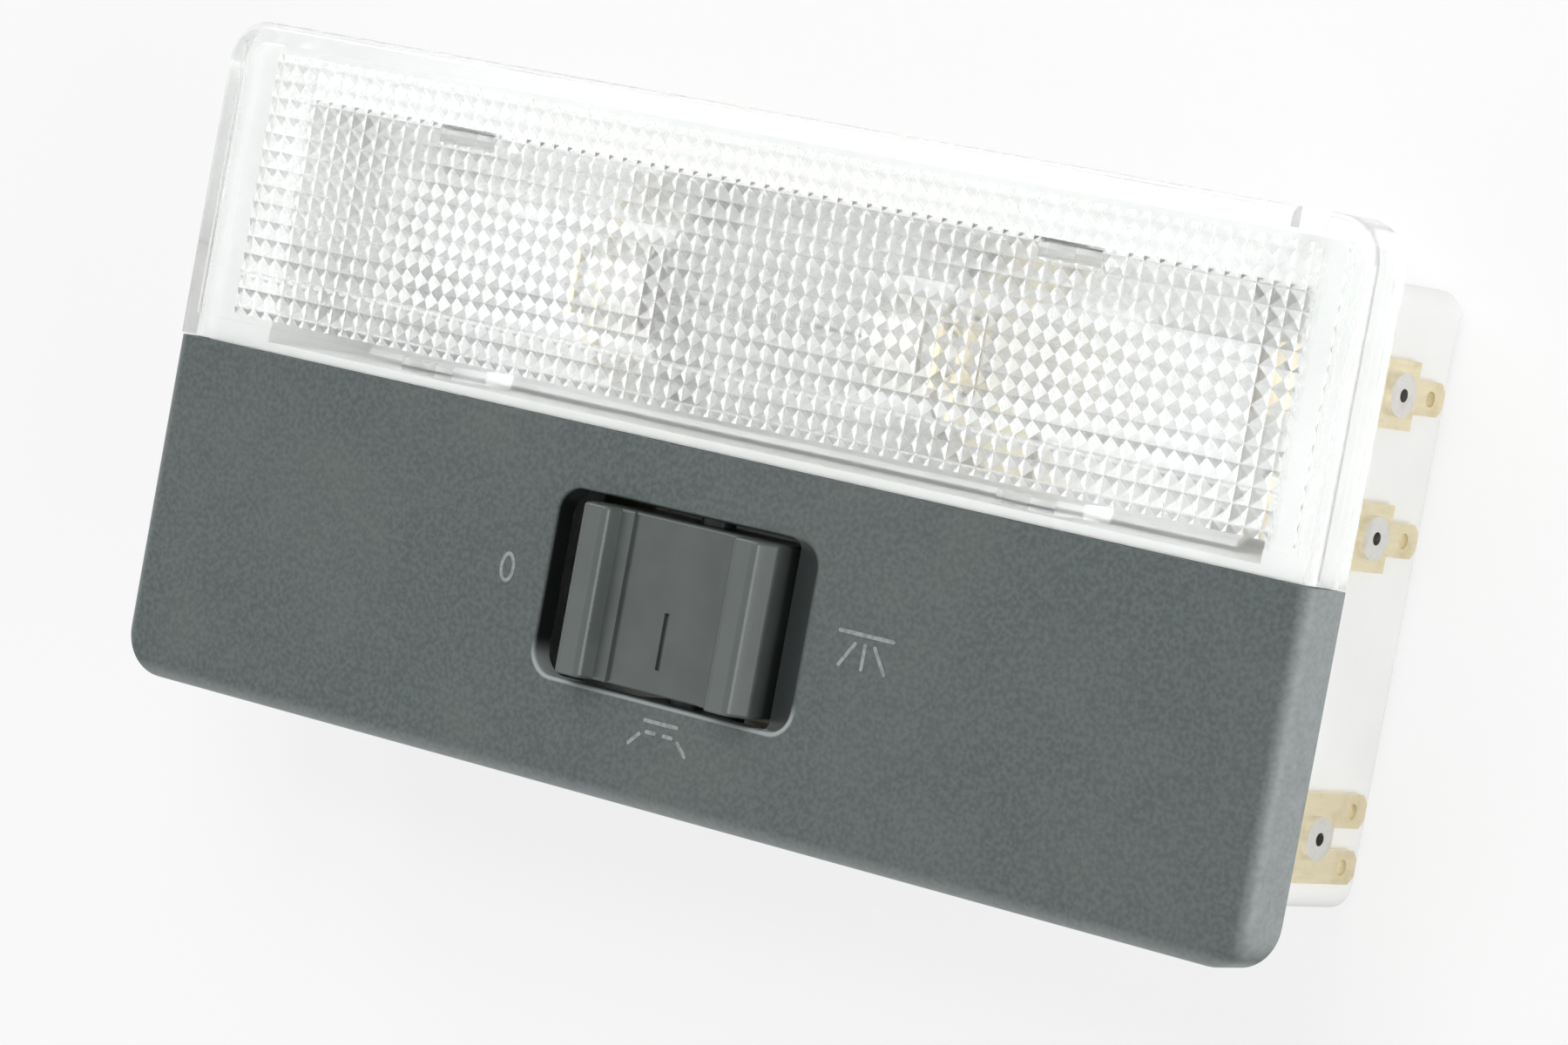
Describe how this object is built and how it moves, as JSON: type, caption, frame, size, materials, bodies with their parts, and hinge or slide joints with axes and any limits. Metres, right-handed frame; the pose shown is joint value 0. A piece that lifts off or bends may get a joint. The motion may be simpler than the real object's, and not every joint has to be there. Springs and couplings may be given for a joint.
{
  "type": "car courtesy light",
  "caption": "Flush roof courtesy light: clear prism lens beside a dark plate with a rocker switch, white tray behind, push-on terminals at one end.",
  "frame": {"origin": "middle of the flange's underside, the plane that seats on the roof trim", "axes": "+X along the lamp to the terminal end, +Y from the switch plate to the lens, +Z out of the face"},
  "size_m": [0.125, 0.06, 0.0243],
  "materials": {
    "white_plastic": "moulded white plastic, satin",
    "grey_plastic": "dark grey grained plastic",
    "rocker_plastic": "dark grey plastic, half gloss",
    "clear_plastic": "clear moulded plastic",
    "brass": "stamped brass, lightly tarnished",
    "spring_steel": "bright spring steel",
    "cap_metal": "nickel plated",
    "bulb_glass": "clear glass",
    "filament": "dull tungsten",
    "reflector_metal": "bright rolled sheet",
    "rivet_metal": "tinned"
  },
  "bodies": {
    "lamp": {"housing": "white_plastic", "face_plate": "grey_plastic", "lens": "clear_plastic", "bulb_glass": "bulb_glass", "bulb_cap_left": "cap_metal", "bulb_cap_right": "cap_metal", "bulb_filament": "filament", "supply_strip": "brass", "common_strip": "brass", "door_strip": "brass", "ground_strip": "brass", "supply_terminal": "brass", "door_terminal": "brass", "ground_terminal": "brass", "terminal_rivets": "rivet_metal", "reflector": "reflector_metal", "retaining_spring": "spring_steel", "spring_rivets": "rivet_metal"},
    "rocker": {"rocker": "rocker_plastic", "plunger_spring": "spring_steel"},
    "plunger": {"contact_plunger": "brass"}
  },
  "joints": [
    {"name": "rocker_tilt", "type": "hinge", "parent": "lamp", "child": "rocker", "pos_m": [0, -0.01265, 0.0006], "axis": [0, 1, 0], "range_deg": [-12, 12]},
    {"name": "plunger_slide", "type": "slide", "parent": "rocker", "child": "plunger", "axis": [0, 0, 1], "range_m": [0, 0.0006], "stiffness_N_per_m": 300, "springref_m": -0.002, "deforming": ["plunger_spring"]}
  ]
}
